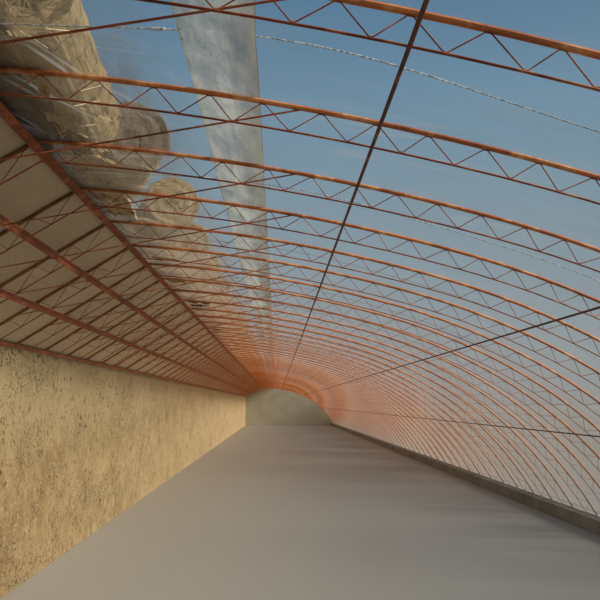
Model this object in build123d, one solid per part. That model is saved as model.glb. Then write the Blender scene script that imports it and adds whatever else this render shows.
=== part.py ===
from build123d import *
from math import acos, asin, cos, degrees, radians, sin, tan
import os

# Half size model of a long solar greenhouse: an earth wall on the north side, steel lattice
# arches that come down to a low beam on the south side, a boarded rear roof and a film skin.
# Millimetres. +X runs along the house, +Y points north, +Z is up. Every cross section is drawn
# with y measured south from the earth wall's inner face, and section_y turns it into the frame.

# Driving sizes of the plan
BAY = 400.0
BAY_COUNT = 71
TRUSSES_PER_NODE = 7
GABLE_THICK = 250.0
INNER_LENGTH = BAY * BAY_COUNT
OVERALL_LENGTH = INNER_LENGTH + 2 * GABLE_THICK
X_WEST = -INNER_LENGTH / 2
X_EAST = INNER_LENGTH / 2

# North wall of rammed earth
WALL_FOOT = 700.0
WALL_HEAD = 400.0

# South beam that the arches stand on
BEAM_WIDTH = 200.0
BEAM_HEIGHT = 100.0
BEAM_TOE = 100.0

# Line of the steel: a straight rafter to the north, three arcs to the south
RIDGE_Y = 670.0
RIDGE_Z = 1700.0
ROOF_PITCH = 33.0
RAFTER_END = -70.0
ARCH_RADII = (6420.0, 3365.0, 2798.0)
ARCH_ANGLES = (3.2, 15.5, 29.0, 63.0)

# Lattice truss
TOP_CHORD = 12.0
BOTTOM_CHORD = 5.0
WEB_BAR = 3.6
TRUSS_DEPTH = 60.0
REAR_CHORD_START = 60.0
BRACE_NORTH_Y = 159.0
BRACE_SOUTH_Y = 1415.0
WEB_HALF_PITCH = 65.0
RIDGE_WEB_REACH = 75.0
FOOT_WEB_TURN = 0.8

# Bars that run the length of the house
TIE_DIAMETER = 8.2
TIE_POSITIONS = {"arch_tie_upper": 1572.0, "arch_tie_middle": 2424.0, "arch_tie_lower": 3224.0}
PURLIN_LEG = 17.0
PURLIN_POSITIONS = {"mid_roof_purlin": 512.0, "lower_roof_purlin": 300.0}
ANGLE_THICK = 3.0
RIDGE_LEG = 20.0
RIDGE_LIP = 7.0
PLATE_LEG = 15.0

# Rear roof
BOARD_THICK = 10.0
BOARD_SPLIT_Y = 330.0
BOARD_TOP_Y = 656.0
BOARD_END_Y = -72.0
BOARD_BAYS = 2
BOARD_GAP = 2.0
COVER_THICK = 60.0
COVER_TOP_Y = 560.0
COVER_EAVE_Y = -385.0

# Film skin and what holds it
FILM_THICK = 3.0
RIDGE_LAND = 32.0
VENT_TOP_ANGLE = 8.03
VENT_FOOT_ANGLE = 8.66
VENT_LAP = 0.35
FILM_STRIPS = 9
STRIP_GAP = 0.4
BATTEN_THICK = 6.0
BATTEN_WIDTH = 20.0

# Doorway in the near gable
DOOR_OFFSET = 150.0
DOOR_WIDTH = 450.0
DOOR_HEIGHT = 950.0
LINING_THICK = 20.0
LINTEL_HEIGHT = 60.0
LINTEL_BEARING = 60.0

# Straw mats, each rolled up to the ridge and lying a little askew
MAT_COUNT = 42
MAT_PITCH = 676.0
MAT_FIRST = 169.0
MAT_GAP = 2.0
MAT_THICK = 12.0
ROLL_LENGTH = 630.0
ROLL_RADIUS = 120.0
ROLL_Y = 828.0
ROLL_YAWS = (14.0, 20.0, 12.0, 5.5, 24.0, 21.0, 17.0)
ROLL_SHIFTS = (-20.0, -45.0, -30.0, -45.0, -55.0, -30.0, -40.0)

KINK_BEND = radians(ROOF_PITCH + ARCH_ANGLES[0])
SLOPE = tan(radians(ROOF_PITCH))
PITCH_COS = cos(radians(ROOF_PITCH))
HALF_CHORD = TOP_CHORD / 2
WALL_TOP = -HALF_CHORD - ANGLE_THICK


def arc_centres():
    """Centres of the three tangent arcs."""
    start = radians(ARCH_ANGLES[0])
    centres = [(RIDGE_Y - ARCH_RADII[0] * sin(start), RIDGE_Z - ARCH_RADII[0] * cos(start))]
    for i in (1, 2):
        turn = radians(ARCH_ANGLES[i])
        step = ARCH_RADII[i - 1] - ARCH_RADII[i]
        y, z = centres[-1]
        centres.append((y + step * sin(turn), z + step * cos(turn)))
    return centres


CENTRES = arc_centres()


def foot_angle(height):
    """Slope angle at which a line parallel to the arch comes down to the beam's top."""
    return degrees(acos((BEAM_HEIGHT - CENTRES[2][1]) / (ARCH_RADII[2] + height)))


# The beam lies under the arches' feet, and the plan is centred on wall and beam together
FOOT_Y = CENTRES[2][0] + ARCH_RADII[2] * sin(radians(foot_angle(0)))
BEAM_SOUTH = FOOT_Y + BEAM_TOE
BEAM_NORTH = BEAM_SOUTH - BEAM_WIDTH
Y_CENTRE = (BEAM_SOUTH - WALL_FOOT) / 2


def section_y(y):
    """Frame Y of a place that lies y south of the earth wall's inner face."""
    return Y_CENTRE - y


def roof_point(y, height):
    """Point on the rear slope, height above the rafters' middle line."""
    return (section_y(y), RIDGE_Z + (y - RIDGE_Y) * SLOPE + height / PITCH_COS)


def arc_number(angle):
    """Which of the three arcs holds this slope angle."""
    if angle <= ARCH_ANGLES[1]:
        return 0
    return 1 if angle <= ARCH_ANGLES[2] else 2


def arch_point(angle, height):
    """Point of the arch where it slopes down at angle, height outside the top chord's middle."""
    i = arc_number(angle)
    radius = ARCH_RADII[i] + height
    y = CENTRES[i][0] + radius * sin(radians(angle))
    return (section_y(y), CENTRES[i][1] + radius * cos(radians(angle)))


def arch_angle(y, height):
    """Slope angle of the arch where it lies y south of the wall."""
    for i in range(3):
        angle = degrees(asin((y - CENTRES[i][0]) / (ARCH_RADII[i] + height)))
        if angle <= ARCH_ANGLES[i + 1]:
            return angle
    return ARCH_ANGLES[3]


def knee_angle(height):
    """Slope angle at which a line parallel to the arch meets its fellow on the rear slope."""
    reach = (ARCH_RADII[0] * cos(KINK_BEND) + height) / (ARCH_RADII[0] + height)
    return degrees(acos(reach)) - ROOF_PITCH


def arch_edges(height, start, end):
    """Arcs parallel to the arch from one slope angle to another."""
    stops = [start] + [a for a in ARCH_ANGLES[1:3] if start < a < end] + [end]
    edges = []
    for a, b in zip(stops, stops[1:]):
        i = arc_number((a + b) / 2)
        radius = ARCH_RADII[i] + height
        ends = []
        for angle in (a, (a + b) / 2, b):
            turn = radians(angle)
            y = CENTRES[i][0] + radius * sin(turn)
            ends.append((section_y(y), CENTRES[i][1] + radius * cos(turn)))
        edges.append(ThreePointArc(*ends))
    return edges


def closed_face(edges):
    """Face inside a ring of edges."""
    return make_face(edges)


def arch_band(low, high, start, end):
    """Strip between two lines parallel to the arch."""
    outer = arch_edges(high, start, end)
    inner = arch_edges(low, start, end)
    sides = [Line(arch_point(a, low), arch_point(a, high)) for a in (start, end)]
    return closed_face(outer + inner + sides)


def rafter_and_arch(low, high, rear_y):
    """Strip that follows the rear slope up to the ridge and the arch down to its foot."""
    last = ARCH_ANGLES[3]
    a, b = knee_angle(low), knee_angle(high)
    edges = arch_edges(high, b, last) + arch_edges(low, a, last)
    edges.append(Line(arch_point(last, low), arch_point(last, high)))
    edges.append(Line(roof_point(rear_y, low), arch_point(a, low)))
    edges.append(Line(roof_point(rear_y, high), arch_point(b, high)))
    edges.append(Line(roof_point(rear_y, low), roof_point(rear_y, high)))
    return closed_face(edges)


def bar(p, q, width):
    """Straight flat bar between two points of the section."""
    a, b = Vector(*p), Vector(*q)
    side = (b - a).normalized().rotate(Axis.Z, 90) * (width / 2)
    return make_face(Polyline(a + side, b + side, b - side, a - side, close=True))


def polygon(points):
    """Straight sided outline of the section."""
    return make_face(Polyline(*points, close=True))


def block(y_low, y_high, z_low, z_high):
    """Upright rectangle of the section."""
    return polygon([(section_y(y_low), z_low), (section_y(y_high), z_low),
                    (section_y(y_high), z_high), (section_y(y_low), z_high)])


def below_beam_top():
    """Everything under the level of the beam's top, to cut the arch strips off at it."""
    return block(RIDGE_Y, 2 * BEAM_SOUTH, -RIDGE_Z, BEAM_HEIGHT)


def run(face, x_low, x_high):
    """Section drawn out along the house."""
    return Pos(x_low, 0, 0) * extrude(Plane.YZ * face, amount=x_high - x_low, dir=(1, 0, 0))


# One lattice truss

def web_points():
    """Ends of the main web bars: both ends of the truss, the ridge and each tie."""
    low = -TRUSS_DEPTH
    foot = foot_angle(low) - FOOT_WEB_TURN
    rear = REAR_CHORD_START + WEB_BAR / 2
    pairs = [(roof_point(rear, low), roof_point(rear - WEB_HALF_PITCH / 2, 0)),
             (arch_point(foot, low), arch_point(foot, 0)),
             (arch_point(knee_angle(low), low), roof_point(RIDGE_Y - RIDGE_WEB_REACH, 0)),
             (arch_point(knee_angle(low), low), arch_point(arch_angle(RIDGE_Y + RIDGE_WEB_REACH, 0), 0))]
    for y in TIE_POSITIONS.values():
        for side in (-1, 1):
            low_angle = arch_angle(y, low)
            pairs.append((arch_point(low_angle, low),
                          arch_point(arch_angle(y + side * WEB_HALF_PITCH, 0), 0)))
    return pairs


def make_truss():
    """Top chord, and the thinner bottom chord, webs and straight brace fused to it."""
    ground = below_beam_top()
    chord = rafter_and_arch(-HALF_CHORD, HALF_CHORD, RAFTER_END) - ground
    half = BOTTOM_CHORD / 2
    lattice = rafter_and_arch(-TRUSS_DEPTH - half, -TRUSS_DEPTH + half, REAR_CHORD_START)
    for p, q in web_points():
        lattice += bar(p, q, WEB_BAR)
    lattice += bar(roof_point(BRACE_NORTH_Y, 0),
                   arch_point(arch_angle(BRACE_SOUTH_Y, 0), 0), BOTTOM_CHORD)
    lattice -= ground
    thick = run(chord, -HALF_CHORD, HALF_CHORD)
    thin = run(lattice, -half, half)
    return (thick + thin).solids()[0]


# Walls and beam

def north_wall():
    return run(polygon([(section_y(0), 0), roof_point(0, WALL_TOP),
                        roof_point(-WALL_HEAD, WALL_TOP), (section_y(-WALL_FOOT), 0)]),
               -OVERALL_LENGTH / 2, OVERALL_LENGTH / 2)


def gable_face():
    """Whole gable under the film and the boards, with a toe beside the beam's end."""
    last = foot_angle(HALF_CHORD)
    knee = knee_angle(HALF_CHORD)
    foot = arch_point(last, HALF_CHORD)
    edges = arch_edges(HALF_CHORD, knee, last)
    edges.append(Polyline(foot, (section_y(BEAM_SOUTH), foot[1]), (section_y(BEAM_SOUTH), 0),
                          (section_y(0), 0), roof_point(0, WALL_TOP),
                          roof_point(RAFTER_END, WALL_TOP), roof_point(RAFTER_END, HALF_CHORD),
                          arch_point(knee, HALF_CHORD)))
    return closed_face(edges)


def gable_part(y_low, y_high, z_low, z_high):
    """The part of the gable inside a rectangle."""
    return gable_face() & block(y_low, y_high, z_low, z_high)


def near_gable(face):
    return run(face, X_WEST - GABLE_THICK, X_WEST)


# Angles along the roof

def ridge_angle():
    """Bent steel strip under the knee of the trusses, its narrow lip along the south slope."""
    top, low = -HALF_CHORD - 0.1, -HALF_CHORD - 0.1 - ANGLE_THICK
    north_y = RIDGE_Y - RIDGE_LEG * PITCH_COS
    south_top, south_low = (arch_angle(RIDGE_Y + RIDGE_LIP, h) for h in (top, low))
    return polygon([roof_point(north_y, top), arch_point(knee_angle(top), top),
                    arch_point(south_top, top), arch_point(south_low, low),
                    arch_point(knee_angle(low), low), roof_point(north_y, low)])


def purlin(y):
    """Steel angle under the rear bottom chords, one leg flat against them."""
    top = -TRUSS_DEPTH - BOTTOM_CHORD / 2
    half = PURLIN_LEG * PITCH_COS / 2
    leg = ANGLE_THICK / PITCH_COS
    flat = polygon([roof_point(y - half, top), roof_point(y + half, top),
                    roof_point(y + half, top - ANGLE_THICK),
                    roof_point(y - half, top - ANGLE_THICK)])
    corner = roof_point(y - half, top)
    down = polygon([corner, (corner[0], corner[1] - PURLIN_LEG),
                    (corner[0] - leg, corner[1] - PURLIN_LEG), roof_point(y - half + leg, top)])
    return flat + down


def wall_plate():
    """Steel angle over the earth wall's inner top edge."""
    top = -HALF_CHORD
    flat = [roof_point(ANGLE_THICK, top), roof_point(-PLATE_LEG, top),
            roof_point(-PLATE_LEG, WALL_TOP), roof_point(0, WALL_TOP)]
    foot = flat[-1][1] - PLATE_LEG
    return polygon(flat + [(section_y(0), foot), (section_y(ANGLE_THICK), foot)])


def tie(y):
    """Round tube under the arch bottom chords."""
    depth = -TRUSS_DEPTH - BOTTOM_CHORD / 2 - TIE_DIAMETER / 2
    return Pos(*arch_point(arch_angle(y, depth), depth)) * Circle(TIE_DIAMETER / 2)


# Rear roof

def roof_boards(y_low, y_high):
    """A row of boards on the rafters, each two bays long."""
    low, high = HALF_CHORD, HALF_CHORD + BOARD_THICK
    face = polygon([roof_point(y_low, low), roof_point(y_high, low),
                    roof_point(y_high, high), roof_point(y_low, high)])
    ends = [-OVERALL_LENGTH / 2]
    ends += [X_WEST + BAY * (BOARD_BAYS * n + 1) for n in range((BAY_COUNT + 1) // BOARD_BAYS)]
    ends[-1] = OVERALL_LENGTH / 2
    return [run(face, a, b - BOARD_GAP) for a, b in zip(ends, ends[1:-1])] + [
        run(face, ends[-2], ends[-1])]


def earth_cover():
    """Earth and straw laid over the boards and down on to the wall head."""
    low = HALF_CHORD + BOARD_THICK
    high = low + COVER_THICK
    step = BOARD_END_Y - 1
    return polygon([roof_point(COVER_TOP_Y, low), roof_point(step, low),
                    roof_point(step, WALL_TOP), roof_point(COVER_EAVE_Y, WALL_TOP),
                    roof_point(COVER_EAVE_Y, WALL_TOP + 20), roof_point(COVER_EAVE_Y + 90, high),
                    roof_point(COVER_TOP_Y - 40, high), roof_point(COVER_TOP_Y, high - 25)])


# Film

def main_film():
    """Film from the vent to the beam, in strips so that each follows the curve closely."""
    end = ARCH_ANGLES[3]
    turn = (end - VENT_FOOT_ANGLE) / FILM_STRIPS
    faces = []
    for n in range(FILM_STRIPS):
        start = VENT_FOOT_ANGLE + n * turn
        gap = degrees(STRIP_GAP / ARCH_RADII[2]) if n < FILM_STRIPS - 1 else 0
        strip = arch_band(HALF_CHORD, HALF_CHORD + FILM_THICK, start, start + turn - gap)
        faces.append(strip - below_beam_top())
    return faces


def upper_film():
    """Film from the rear roof over the ridge to the vent, parted where it bends."""
    whole = ridge_strip(0, FILM_THICK, VENT_TOP_ANGLE)
    end = Y_CENTRE - arch_point(VENT_TOP_ANGLE, HALF_CHORD)[0]
    land = RIDGE_Y + RIDGE_LAND
    cuts = [0, BOARD_TOP_Y, land, (land + end) / 2, 2 * end]
    return [whole & block(a, b - STRIP_GAP, 0, 2 * RIDGE_Z) for a, b in zip(cuts, cuts[1:])]


def ridge_strip(low, thick, end):
    """Strip that lies on the roof boards, bends over the ridge and follows the arch to end."""
    board, arch = HALF_CHORD + BOARD_THICK + low, HALF_CHORD + low
    land = arch_angle(RIDGE_Y + RIDGE_LAND, HALF_CHORD)
    edges = arch_edges(arch, land, end) + arch_edges(arch + thick, land, end)
    edges.append(Line(arch_point(end, arch), arch_point(end, arch + thick)))
    edges.append(Polyline(arch_point(land, arch), roof_point(BOARD_TOP_Y, board),
                          roof_point(COVER_TOP_Y + 2, board),
                          roof_point(COVER_TOP_Y + 2, board + thick),
                          roof_point(BOARD_TOP_Y, board + thick),
                          arch_point(land, arch + thick)))
    return closed_face(edges)


def foot_batten():
    """Lath that presses the film's foot on to the gables and the arches."""
    low = HALF_CHORD + FILM_THICK
    span = degrees(BATTEN_WIDTH / ARCH_RADII[2])
    start = foot_angle(low + BATTEN_THICK) - 2 * span
    return arch_band(low, low + BATTEN_THICK, start, start + span)


def straw_mat(yaw_degrees, shift):
    """One mat, flat over the ridge and rolled up at its lower end, the roll lying askew."""
    skin = HALF_CHORD + FILM_THICK
    angle = arch_angle(ROLL_Y + shift, skin)
    y, z = arch_point(angle, skin)
    turn, yaw = radians(angle), radians(yaw_degrees)
    up = Vector(0, -sin(turn), cos(turn))
    axis = Vector(cos(yaw), sin(yaw) * cos(turn), sin(yaw) * sin(turn))
    centre = Vector(0, y, z) + up * ROLL_RADIUS
    roll = Plane(centre, z_dir=axis) * Cylinder(ROLL_RADIUS, ROLL_LENGTH)
    half = (MAT_PITCH - MAT_GAP) / 2
    flat_end = arch_angle(ROLL_Y + shift + half * sin(yaw), skin)
    flat = run(ridge_strip(FILM_THICK, MAT_THICK, flat_end), -half, half)
    south = Pos(0, -MAT_PITCH / 2, 0) * Box(2 * MAT_PITCH, MAT_PITCH, 4 * ROLL_RADIUS)
    lower = Pos(0, y, z) * Rot(degrees(turn), 0, yaw_degrees) * south
    film = run(ridge_strip(-BOARD_THICK, BOARD_THICK + FILM_THICK, VENT_TOP_ANGLE),
               -MAT_PITCH, MAT_PITCH)
    return (flat - lower + (roll - film)).solids()[0]


def straw_mats():
    """Row of mats, no two neighbours rolled up alike."""
    mats = [straw_mat(*way) for way in zip(ROLL_YAWS, ROLL_SHIFTS)]
    first = X_WEST + MAT_FIRST
    return [Pos(first + n * MAT_PITCH, 0, 0) * mats[n % len(mats)] for n in range(MAT_COUNT)]


full = (-OVERALL_LENGTH / 2, OVERALL_LENGTH / 2)
inside = (X_WEST, X_EAST)
door_end = DOOR_OFFSET + DOOR_WIDTH
lintel_low, lintel_high = DOOR_OFFSET - LINTEL_BEARING, door_end + LINTEL_BEARING
lintel_top = DOOR_HEIGHT + LINTEL_HEIGHT
lintel = block(lintel_low, lintel_high, DOOR_HEIGHT, lintel_top)
over = block(lintel_low, lintel_high, DOOR_HEIGHT, 2 * RIDGE_Z)
lining = block(DOOR_OFFSET, door_end, 0, DOOR_HEIGHT) - block(
    DOOR_OFFSET + LINING_THICK, door_end - LINING_THICK, -1, DOOR_HEIGHT - LINING_THICK)

nodes = {
    "north_wall": north_wall(),
    "east_gable_wall": run(gable_face(), X_EAST, X_EAST + GABLE_THICK),
    "west_gable_north_pier": near_gable(gable_part(-WALL_FOOT, DOOR_OFFSET, -1, 2 * RIDGE_Z) - over),
    "west_gable_south_wall": near_gable(
        gable_part(door_end, 2 * BEAM_SOUTH, -1, 2 * RIDGE_Z) - over),
    "west_gable_over_door": near_gable(
        gable_part(lintel_low, lintel_high, lintel_top, 2 * RIDGE_Z)),
    "door_lintel": near_gable(lintel),
    "door_lining": near_gable(lining),
    "wall_top_plate": run(wall_plate(), *inside),
    "south_sill_beam": run(block(BEAM_NORTH, BEAM_SOUTH, 0, BEAM_HEIGHT), *inside),
    "ridge_angle": run(ridge_angle(), *inside),
    "rear_roof_boards_lower": roof_boards(BOARD_END_Y, BOARD_SPLIT_Y - 1),
    "rear_roof_boards_upper": roof_boards(BOARD_SPLIT_Y + 1, BOARD_TOP_Y),
    "rear_roof_earth_cover": run(earth_cover(), *full),
    "upper_film": [run(face, *full) for face in upper_film()],
    "main_film": [run(face, *full) for face in main_film()],
    "vent_film_band": run(arch_band(HALF_CHORD + FILM_THICK, HALF_CHORD + 2 * FILM_THICK,
                                    VENT_TOP_ANGLE - VENT_LAP, VENT_FOOT_ANGLE + VENT_LAP), *full),
    "film_foot_batten": run(foot_batten(), *full),
    "straw_mats": straw_mats(),
}
for name, y in PURLIN_POSITIONS.items():
    nodes[name] = run(purlin(y), *inside)
for name, y in TIE_POSITIONS.items():
    nodes[name] = run(tie(y), *inside)

truss = make_truss()
for group in range((BAY_COUNT - 1) // TRUSSES_PER_NODE):
    first = group * TRUSSES_PER_NODE + 1
    places = [X_WEST + BAY * k for k in range(first, first + TRUSSES_PER_NODE)]
    nodes[f"truss_group_{group + 1:02d}"] = [Pos(x, 0, 0) * truss for x in places]

os.makedirs("parts", exist_ok=True)
for name, shape in nodes.items():
    solids = shape if isinstance(shape, list) else shape.solids()
    body = solids[0] if len(solids) == 1 else Compound(children=list(solids))
    export_step(body, f"parts/{name}.step")
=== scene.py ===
from math import copysign, cos, exp, pi, radians, sin, tan
from random import Random

import bpy
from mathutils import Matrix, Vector, noise


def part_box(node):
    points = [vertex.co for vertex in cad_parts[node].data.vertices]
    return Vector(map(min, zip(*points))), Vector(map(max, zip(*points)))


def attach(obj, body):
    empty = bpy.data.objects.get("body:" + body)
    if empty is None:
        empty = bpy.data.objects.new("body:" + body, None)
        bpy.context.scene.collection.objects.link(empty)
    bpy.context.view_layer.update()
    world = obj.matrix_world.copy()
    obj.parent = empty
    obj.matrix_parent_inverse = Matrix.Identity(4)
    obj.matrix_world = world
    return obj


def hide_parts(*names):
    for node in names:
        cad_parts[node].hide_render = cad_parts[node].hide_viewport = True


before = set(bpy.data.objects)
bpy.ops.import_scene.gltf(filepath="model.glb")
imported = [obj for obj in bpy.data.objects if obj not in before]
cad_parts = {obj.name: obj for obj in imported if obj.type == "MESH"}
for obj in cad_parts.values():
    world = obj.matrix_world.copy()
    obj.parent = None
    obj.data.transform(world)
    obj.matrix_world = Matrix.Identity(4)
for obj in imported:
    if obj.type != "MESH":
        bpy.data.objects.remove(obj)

# Lattice arches. Each is a welded steel truss: a round tube bent to the roof line, a thinner rod
# held parallel inside it by a zigzag of rods, and a straight rod from the rafter to the arch.
# They stand one bay apart, brushed with red-brown primer, top tubes lighter than the thin rods.

# Lengths are metres of the half-size model. South is counted from the wall's inner face, along
# is the distance down the arch from the ridge, and a height is square to the arch or rafter.
BAY, TRUSSES = 0.4, 70
RIDGE_SOUTH, RIDGE_UP = 0.67, 1.7
ROOF_PITCH = radians(33)
ARCH_RADII = (6.42, 3.365, 2.798)
ARCH_ANGLES = tuple(radians(a) for a in (3.2, 15.5, 29, 63))
TOP_RADIUS, LOW_RADIUS, WEB_RADIUS, BRACE_RADIUS = 0.0063, 0.0025, 0.0015, 0.0022
TRUSS_DEPTH = 0.06
ARCH_STEPS = 34
KNEE_SOUTH, RAFTER_TOE = 0.0163, 0.068
LOW_ROD_START = ((0.012, -TOP_RADIUS), (0.055, -TRUSS_DEPTH + 0.004), (0.075, -TRUSS_DEPTH))
WEB_PITCH, WEB_FLAT, LOWER_FLAT_SHARE, WEB_UNEVEN = 0.13, 0.005, 0.7, 0.014
WEB_WELD = 0.4 * WEB_RADIUS
WEB_FROM_KNEE = 0.012
REAR_PANELS, REAR_WEB_FROM, REAR_WEB_TO = 4, RIDGE_SOUTH - 0.03, 0.115
VARIANTS = 5
BRACE_FROM, BRACE_TO, BRACE_UNDER = 0.159, 1.415, 0.004

beam_low, beam_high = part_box("south_sill_beam")
wall_low, wall_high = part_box("north_wall")
PLATE_THICK = 0.003
WALL_FACE_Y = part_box("wall_top_plate")[0].y + PLATE_THICK
BEAM_TOP = beam_high.z
# The near gable's inner face, and the outer faces of both gables.
GABLE_X = beam_low.x
OUTER_WEST, OUTER_EAST = wall_low.x, wall_high.x

# Primer: worn thin, light, dark, and a lighter, more orange far colour that is painted far glow.
# Each range is where a change begins and ends.
TUBE_PRIMER = ((0.78, 0.36, 0.15, 1), (0.60, 0.20, 0.06, 1), (0.32, 0.085, 0.028, 1),
               (0.95, 0.42, 0.18, 1))
ROD_PRIMER = ((0.46, 0.17, 0.07, 1), (0.30, 0.070, 0.026, 1), (0.13, 0.030, 0.014, 1),
              (0.72, 0.26, 0.095, 1))
# Chips rust, painted shade under the rear roof and the mats, and dust at the foot.
CHIP_RUST, PAINTED_SHADE_TONE, FOOT_DUST = (
    (0.075, 0.030, 0.018, 1), (0.060, 0.028, 0.016, 1), (0.52, 0.44, 0.36, 1))
FAR_GLOW_ALONG = (GABLE_X + 2.5, GABLE_X + 9.0)
PAINTED_SHADE_FADES_ALONG = (GABLE_X + 5.0, GABLE_X + 15.0)
PAINTED_SHADE_NORTH = (WALL_FACE_Y - 0.86, WALL_FACE_Y - 0.60)
DUSTY_DOWN = (0.55, 0.15)


class Pattern:
    """An output socket of a material's nodes; sums and products on it add Math nodes."""

    def __init__(self, tree, socket=None):
        self.tree, self.socket = tree, socket

    def make(self, kind, sockets, output=0, **settings):
        """Adds one node: its settings first, then a value or a link for each socket."""
        node = self.tree.nodes.new("ShaderNode" + kind)
        for key, value in settings.items():
            if key == "stops":
                for i, (place, colour) in enumerate(value):
                    stop = node.color_ramp.elements
                    stop = stop[i] if i < 2 else stop.new(place)
                    stop.position, stop.color = place, colour
            else:
                setattr(node, key, value)
        for key, value in sockets.items():
            if isinstance(value, Pattern):
                self.tree.links.new(value.socket, node.inputs[key])
            else:
                node.inputs[key].default_value = value
        return Pattern(self.tree, node.outputs[output])

    def maths(self, operation, other=0.0):
        return self.make("Math", {0: self, 1: other}, operation=operation)

    def __add__(self, other):
        return self.maths("ADD", other)

    def __sub__(self, other):
        return self.maths("SUBTRACT", other)

    def __rsub__(self, other):
        return self.make("Math", {0: other, 1: self}, operation="SUBTRACT")

    def __mul__(self, other):
        return self.maths("MULTIPLY", other)

    __radd__, __rmul__ = __add__, __mul__

    def over(self, low, high):
        """0 below low, 1 above high, a straight rise between."""
        return self.make("MapRange", {0: self, 1: low, 2: high, 3: 0.0, 4: 1.0})

    def stretched(self, *scale):
        return self.make("Mapping", {"Vector": self, "Scale": scale})

    def turned(self, angle):
        return self.make("Mapping", {"Vector": self, "Rotation": (0.0, 0.0, angle)})

    def leaning(self, angle):
        """Turned about the axis that points south."""
        return self.make("Mapping", {"Vector": self, "Rotation": (0.0, angle, 0.0)})

    def part(self, axis):
        return self.make("SeparateXYZ", {0: self}, axis)

    def noise(self, scale, detail=4.0, rough=0.55):
        return self.make("TexNoise", {"Vector": self, "Scale": scale, "Detail": detail,
                                      "Roughness": rough})

    def blend(self, a, b):
        """Colour a where this is 0, colour b where it is 1."""
        return self.make("Mix", {0: self, 6: a, 7: b}, 2, data_type="RGBA")

    def bump(self, depth, strength=1.0):
        return self.make("Bump", {"Height": self, "Distance": depth, "Strength": strength})


def surface(name, coordinate="Object"):
    """New material, with where its pattern is read."""
    material = bpy.data.materials.new(name)
    material.use_nodes = True
    start = Pattern(material.node_tree)
    return material, start.make("TexCoord", {}, coordinate)


def finish(material, **sockets):
    """Links or sets the sockets of the material's own shader."""
    shader = material.node_tree.nodes["Principled BSDF"]
    for key, value in sockets.items():
        socket = shader.inputs[key.replace("_", " ")]
        if isinstance(value, Pattern):
            material.node_tree.links.new(value.socket, socket)
        else:
            socket.default_value = value
    return material


def painted_steel(name, worn, light, dark, far_glow, rust=0.5, painted_shade=0.0):
    """Primer brushed on unevenly: thin and worn in places, with chips that have rusted, painted
    lighter and more orange towards the far end as painted far glow, and dusty at its foot. The
    last argument, from 0 to 1, is how dark the painted shade is under the rear roof and the mats,
    which fades towards the far end."""
    material, where = surface(name)
    streak = where.noise(7.0, 5.0, 0.6).over(0.36, 0.62)
    thin = where.noise(16.0, 4.0, 0.6).over(0.50, 0.66)
    chips = where.noise(70.0, 3.0).over(0.60, 0.72) * rust
    colour = thin.blend(streak.blend(dark, light), worn)
    colour = chips.blend(colour, CHIP_RUST)
    if painted_shade:
        # Painted shade under the rear roof and the mats: darker to the north, weaker further along.
        north = where.part(1) + 0.08 * where.noise(9.0, 3.0)
        north = north.over(*PAINTED_SHADE_NORTH) * (1.0 - 0.85 * where.part(0).over(*PAINTED_SHADE_FADES_ALONG))
        colour = (painted_shade * north).blend(colour, PAINTED_SHADE_TONE)
    # Painted far glow: lighter and more orange towards the far end.
    colour = (0.7 * where.part(0).over(*FAR_GLOW_ALONG)).blend(colour, far_glow)
    colour = (0.7 * where.part(2).over(*DUSTY_DOWN)).blend(colour, FOOT_DUST)
    return finish(material, Base_Color=colour, Roughness=0.50 + 0.25 * streak,
                  Specular_IOR_Level=0.35, Normal=where.noise(220.0, 2.0).bump(0.0006, 0.5))


def arc_centres():
    """Centres of the three tangent arcs of the roof line, as (south, up)."""
    start = ARCH_ANGLES[0]
    centres = [(RIDGE_SOUTH - ARCH_RADII[0] * sin(start), RIDGE_UP - ARCH_RADII[0] * cos(start))]
    for i in (1, 2):
        step = ARCH_RADII[i - 1] - ARCH_RADII[i]
        south, up = centres[-1]
        centres.append((south + step * sin(ARCH_ANGLES[i]), up + step * cos(ARCH_ANGLES[i])))
    return centres


CENTRES = arc_centres()
ARC_STARTS = [0.0]
for i in range(3):
    turn = ARCH_ANGLES[i + 1] - ARCH_ANGLES[i]
    ARC_STARTS.append(ARC_STARTS[i] + turn * ARCH_RADII[i])


def arch(along, height=0.0):
    """Point of the roof line a distance along the arch from the ridge, height outside it."""
    i = min(sum(along > s for s in ARC_STARTS[1:3]), 2)
    angle = ARCH_ANGLES[i] + (along - ARC_STARTS[i]) / ARCH_RADII[i]
    radius = ARCH_RADII[i] + height
    south = CENTRES[i][0] + radius * sin(angle)
    return Vector((0, WALL_FACE_Y - south, CENTRES[i][1] + radius * cos(angle)))


def rafter(south, height=0.0):
    """Point of the rear slope that lies south of the wall's face, height above the rafter."""
    rise = (south - RIDGE_SOUTH) * tan(ROOF_PITCH) + height / cos(ROOF_PITCH)
    return Vector((0, WALL_FACE_Y - south, RIDGE_UP + rise))


def along_while(short):
    """Distance along the arch up to which short(along) holds, found by halving."""
    low, high = 0.0, ARC_STARTS[3]
    for _ in range(40):
        mid = (low + high) / 2
        if short(mid):
            low = mid
        else:
            high = mid
    return mid


def along_at(south, height=0.0):
    """Distance along the arch of the place that lies south of the wall's face."""
    return along_while(lambda along: WALL_FACE_Y - arch(along, height).y < south)


FOOT = along_while(lambda along: arch(along).z > BEAM_TOP)


def wires(name, lines):
    """Mesh of plain edges, one chain for each (radius, points), the radius on each point."""
    points, edges, widths = [], [], []
    for radius, chain in lines:
        edges += [(len(points) + i, len(points) + i + 1) for i in range(len(chain) - 1)]
        points += chain
        widths += [radius] * len(chain)
    mesh = bpy.data.meshes.new(name)
    mesh.from_pydata([tuple(p) for p in points], edges, [])
    mesh.attributes.new("radius_of_bar", "FLOAT", "POINT").data.foreach_set("value", widths)
    obj = bpy.data.objects.new(name, mesh)
    bpy.context.scene.collection.objects.link(obj)
    return obj


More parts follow.
